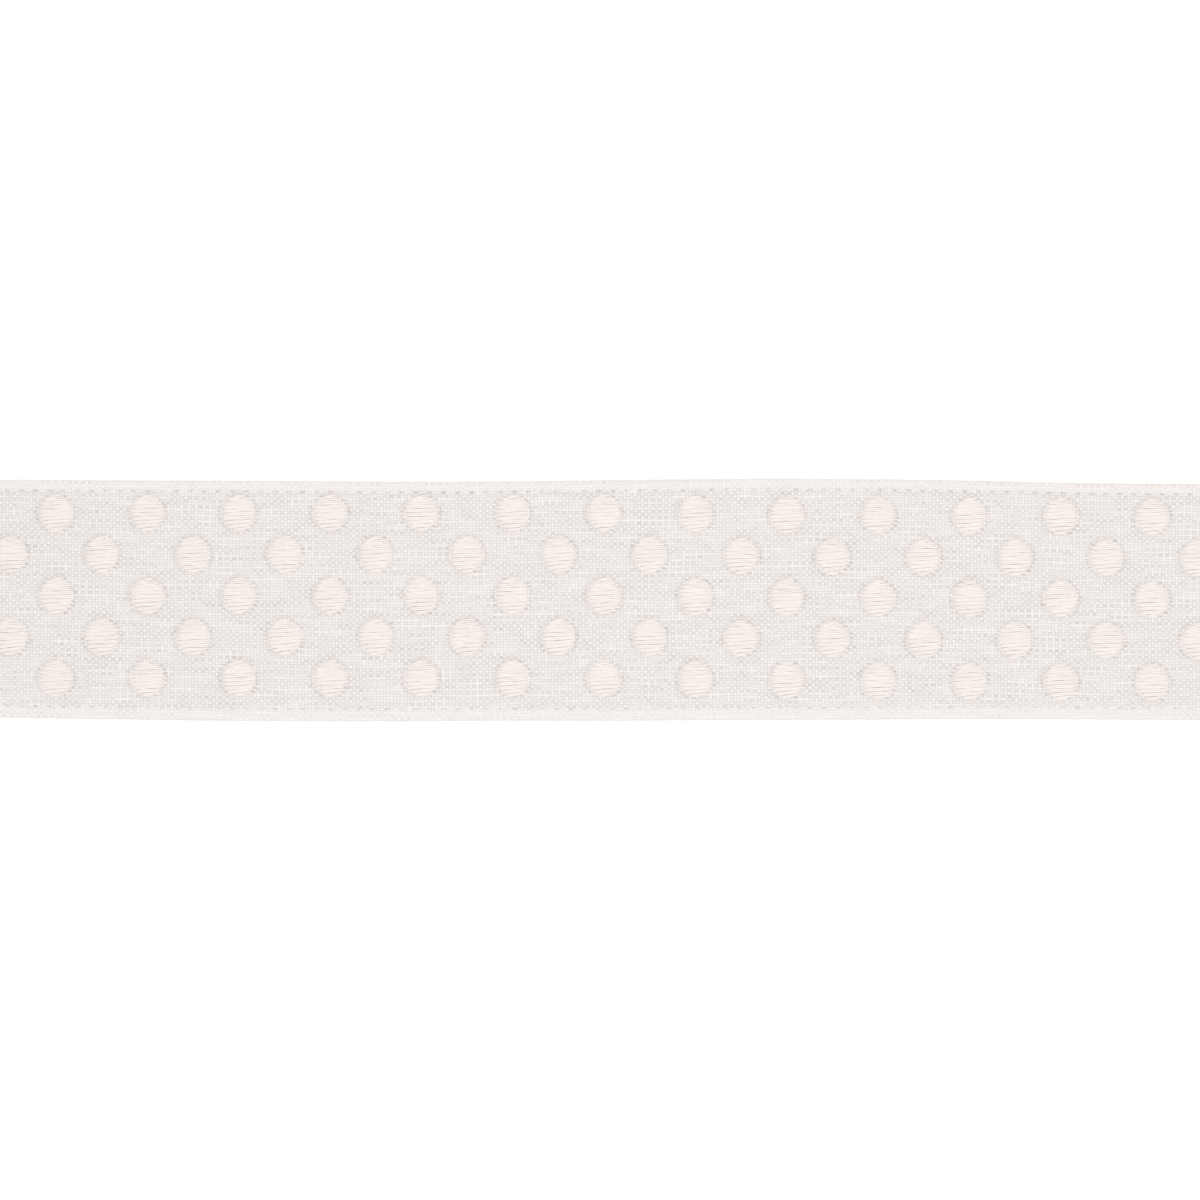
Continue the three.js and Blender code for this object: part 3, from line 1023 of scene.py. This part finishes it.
def twisted_thread(name, colour, turn_length, roughness, sheen, painted_shade_at=None):
    """Two-ply thread, whose twist makes one turn in turn_length. To the eye it is finer and smoother than
    the cloth, with a low sheen along it and slanting plies that show only close to. Where a shade height is
    given, the thread is darkened with painted shade at that height, where it goes into the cloth, and is
    clear of it a little higher, and it has paler and deeper lengths, painted as streaks of sheen."""
    ply_share = 0.4  # of the relief, beside the fibres
    relief_height = 0.018 * MM
    fibre_length, fibres_round = 0.5 * MM, 9  # several times as coarse as cotton's, so that they show
    shade_height, deepest = 0.2 * MM, 0.93
    colour = tuple(colour)
    material, tree, shader = new_surface(
        name, Base_Color=colour, Roughness=roughness, IOR=1.5, Sheen_Weight=sheen, Sheen_Roughness=0.45
    )
    place = add(tree, "UVMap", uv_map="thread")
    parts = add(tree, "SeparateXYZ", {0: place}).node.outputs
    turn = add(tree, "Math", {0: parts["X"], 1: 1 / turn_length, 2: parts["Y"]}, operation="MULTIPLY_ADD")
    ply = add(tree, "Math", {0: turn, 1: 4 * np.pi}, operation="MULTIPLY")
    ply = add(tree, "Math", {0: ply}, operation="COSINE")
    fibre = add(tree, "VectorMath", {0: place, 1: (1 / fibre_length, fibres_round, 0)}, operation="MULTIPLY")
    fibre = add(tree, "TexNoise", {"Vector": fibre, "Scale": 1.0, "Detail": 2.0})
    relief = add(tree, "Math", {0: ply, 1: ply_share, 2: fibre}, operation="MULTIPLY_ADD")
    normal = add(tree, "Bump", {"Strength": 1.0, "Distance": relief_height, "Height": relief})
    tree.links.new(normal, shader.inputs["Normal"])
    if painted_shade_at is not None:
        # Painted shade: the colour darkens towards the given height, where the thread goes down into the
        # cloth.
        place = add(tree, "TexCoord", out="Object")
        height = add(tree, "SeparateXYZ", {0: place}, out="Z")
        clear = painted_shade_at + shade_height
        shade = add(
            tree,
            "MapRange",
            {"Value": height, "From Min": painted_shade_at, "From Max": clear, "To Min": deepest, "To Max": 1.0},
        )
        # Painted sheen: paler and deeper lengths along the thread, in streaks.
        lengths = uneven(tree, place, (2 * MM, 0.25 * MM), 0.96, 1.04)
        shade = add(tree, "Math", {0: shade, 1: lengths}, operation="MULTIPLY")
        shaded = add(
            tree,
            "Mix",
            {"Factor": 1.0, "A": colour, "B": shade},
            out="Result",
            data_type="RGBA",
            blend_type="MULTIPLY",
        )
        tree.links.new(shaded, shader.inputs["Base Color"])
    return material


def pale_floor(colours):
    """A matt painted board, which gives only a plain pale ground."""
    return new_surface("matt_painted_board", Base_Color=tuple(colours.floor), Roughness=1.0)[0]


# Operators


class RIBBON_OT_stage(bpy.types.Operator):
    """Adds the camera, the soft lights and the pale floor"""

    bl_idname = "ribbon.stage"
    bl_label = "Camera, lights and floor"

    def execute(self, context):
        scene = context.scene
        camera = bpy.data.cameras.new("camera")
        camera.lens = LENS
        camera.sensor_width = SENSOR_WIDTH
        camera.clip_start = 0.01
        camera_object = bpy.data.objects.new("camera", camera)
        distance = VIEW_SPAN * LENS / SENSOR_WIDTH
        camera_object.location = (*VIEW_CENTRE, FACE_HEIGHT + distance)
        scene.collection.objects.link(camera_object)
        scene.camera = camera_object

        world = bpy.data.worlds.new("soft_studio")
        world.use_nodes = True
        background = world.node_tree.nodes["Background"]
        background.inputs["Color"].default_value = (1, 1, 1, 1)
        background.inputs["Strength"].default_value = 0.95
        scene.world = world

        # A large soft light from the right, and a smaller one close above the ribbon. Both face its middle.
        for name, place, size, energy in (
            ("side_soft_box", (1.45, -0.25, 1.65), 1.6, 7.3),
            ("top_soft_box", (0.01, 0.0, 0.4), 0.2, 0.26),
        ):
            light = bpy.data.lights.new(name, "AREA")
            light.shape = "SQUARE"
            light.size = size
            light.energy = energy
            light_object = bpy.data.objects.new(name, light)
            light_object.location = place
            light_object.rotation_euler = (
                np.arctan2(np.hypot(place[0], place[1]), place[2]),
                0,
                np.arctan2(-place[1], -place[0]) - np.pi / 2,
            )
            scene.collection.objects.link(light_object)

        mesh = bpy.data.meshes.new("floor")
        reach = 2.0
        corners = [(-reach, -reach, 0), (reach, -reach, 0), (reach, reach, 0), (-reach, reach, 0)]
        mesh.from_pydata(corners, [], [(0, 1, 2, 3)])
        mesh.materials.append(pale_floor(scene.ribbon_colours))
        floor = bpy.data.objects.new("floor", mesh)
        scene.collection.objects.link(floor)

        scene.view_settings.view_transform = "Standard"
        return {"FINISHED"}


class RIBBON_OT_cloth(bpy.types.Operator):
    """Adds the woven strip with both of its edges turned under into hems"""

    bl_idname = "ribbon.cloth"
    bl_label = "Hemmed cloth"

    def execute(self, context):
        sizes = context.scene.ribbon_sizes
        material = woven_linen(sizes, context.scene.ribbon_colours)
        cloth = cloth_piece("ribbon_cloth", sizes, material)
        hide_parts("ribbon")
        return {"FINISHED"}


class RIBBON_OT_dots(bpy.types.Operator):
    """Adds the satin stitches of the dots, one piece for each row"""

    bl_idname = "ribbon.dots"
    bl_label = "Satin stitched dots"

    def execute(self, context):
        sizes = context.scene.ribbon_sizes
        colours = context.scene.ribbon_colours
        # Mercerising leaves the fibres round and smooth, which gives the thread its soft sheen.
        material = twisted_thread(
            "mercerised_embroidery_thread",
            colours.satin,
            turn_length=0.9 * MM,
            roughness=0.55,
            sheen=0.3,
            # painted shade, deepest 0.1 mm over the face, where the satin goes into the cloth
            painted_shade_at=FACE_HEIGHT + 0.1 * MM,
        )
        for row in range(ROW_COUNT):
            dots = thread_piece(f"satin_dots_row_{row + 1}", *satin_paths(sizes, row), material)
        return {"FINISHED"}


class RIBBON_OT_dot_backs(bpy.types.Operator):
    """Adds the threads on the backs of the dots"""

    bl_idname = "ribbon.dot_backs"
    bl_label = "Backs of the dots"

    def execute(self, context):
        sizes = context.scene.ribbon_sizes
        colour = context.scene.ribbon_colours.sewing
        # Spun thread is a little hairy, so that it looks matt.
        material = twisted_thread(
            "spun_bobbin_thread", colour, turn_length=0.6 * MM, roughness=0.8, sheen=0.1
        )
        rows = [back_paths(sizes, row) for row in range(ROW_COUNT)]
        threads = [np.concatenate(parts) for parts in zip(*rows)]
        backs = thread_piece("dot_backs", *threads, material, sides=6)
        return {"FINISHED"}


class RIBBON_OT_edge_stitching(bpy.types.Operator):
    """Adds the running stitches along both hems, on the face and underneath"""

    bl_idname = "ribbon.edge_stitching"
    bl_label = "Edge stitching"

    def execute(self, context):
        sizes = context.scene.ribbon_sizes
        colour = context.scene.ribbon_colours.sewing
        # Spun thread too, but with its hairs singed off for the needle, so that it is a little smoother.
        material = twisted_thread(
            "spun_sewing_thread", colour, turn_length=0.6 * MM, roughness=0.7, sheen=0.15
        )
        for name, under in (("edge_stitches_face", False), ("edge_stitches_under", True)):
            stitches = thread_piece(name, *edge_stitch_paths(sizes, under), material)
        return {"FINISHED"}


class RIBBON_PT_panel(bpy.types.Panel):
    """The ribbon's sizes, colours and pieces"""

    bl_idname = "RIBBON_PT_panel"
    bl_label = "Embroidered ribbon"
    bl_space_type = "VIEW_3D"
    bl_region_type = "UI"
    bl_category = "Ribbon"

    def draw(self, context):
        for group in (context.scene.ribbon_sizes, context.scene.ribbon_colours):
            for name in group.__annotations__:
                self.layout.prop(group, name)
        for operator in OPERATORS:
            self.layout.operator(operator.bl_idname)


# In the order in which they run, with the camera first.
OPERATORS = (
    RIBBON_OT_stage,
    RIBBON_OT_cloth,
    RIBBON_OT_dots,
    RIBBON_OT_dot_backs,
    RIBBON_OT_edge_stitching,
)
CLASSES = (RIBBON_PG_sizes, RIBBON_PG_colours, *OPERATORS, RIBBON_PT_panel)


def register():
    for cls in CLASSES:
        bpy.utils.register_class(cls)
    bpy.types.Scene.ribbon_sizes = bpy.props.PointerProperty(type=RIBBON_PG_sizes)
    bpy.types.Scene.ribbon_colours = bpy.props.PointerProperty(type=RIBBON_PG_colours)


def unregister():
    del bpy.types.Scene.ribbon_colours
    del bpy.types.Scene.ribbon_sizes
    for cls in reversed(CLASSES):
        bpy.utils.unregister_class(cls)


def main():
    register()
    bpy.ops.ribbon.stage()
    bpy.ops.ribbon.cloth()
    bpy.ops.ribbon.dots()
    bpy.ops.ribbon.dot_backs()
    bpy.ops.ribbon.edge_stitching()


if __name__ == "__main__":
    main()
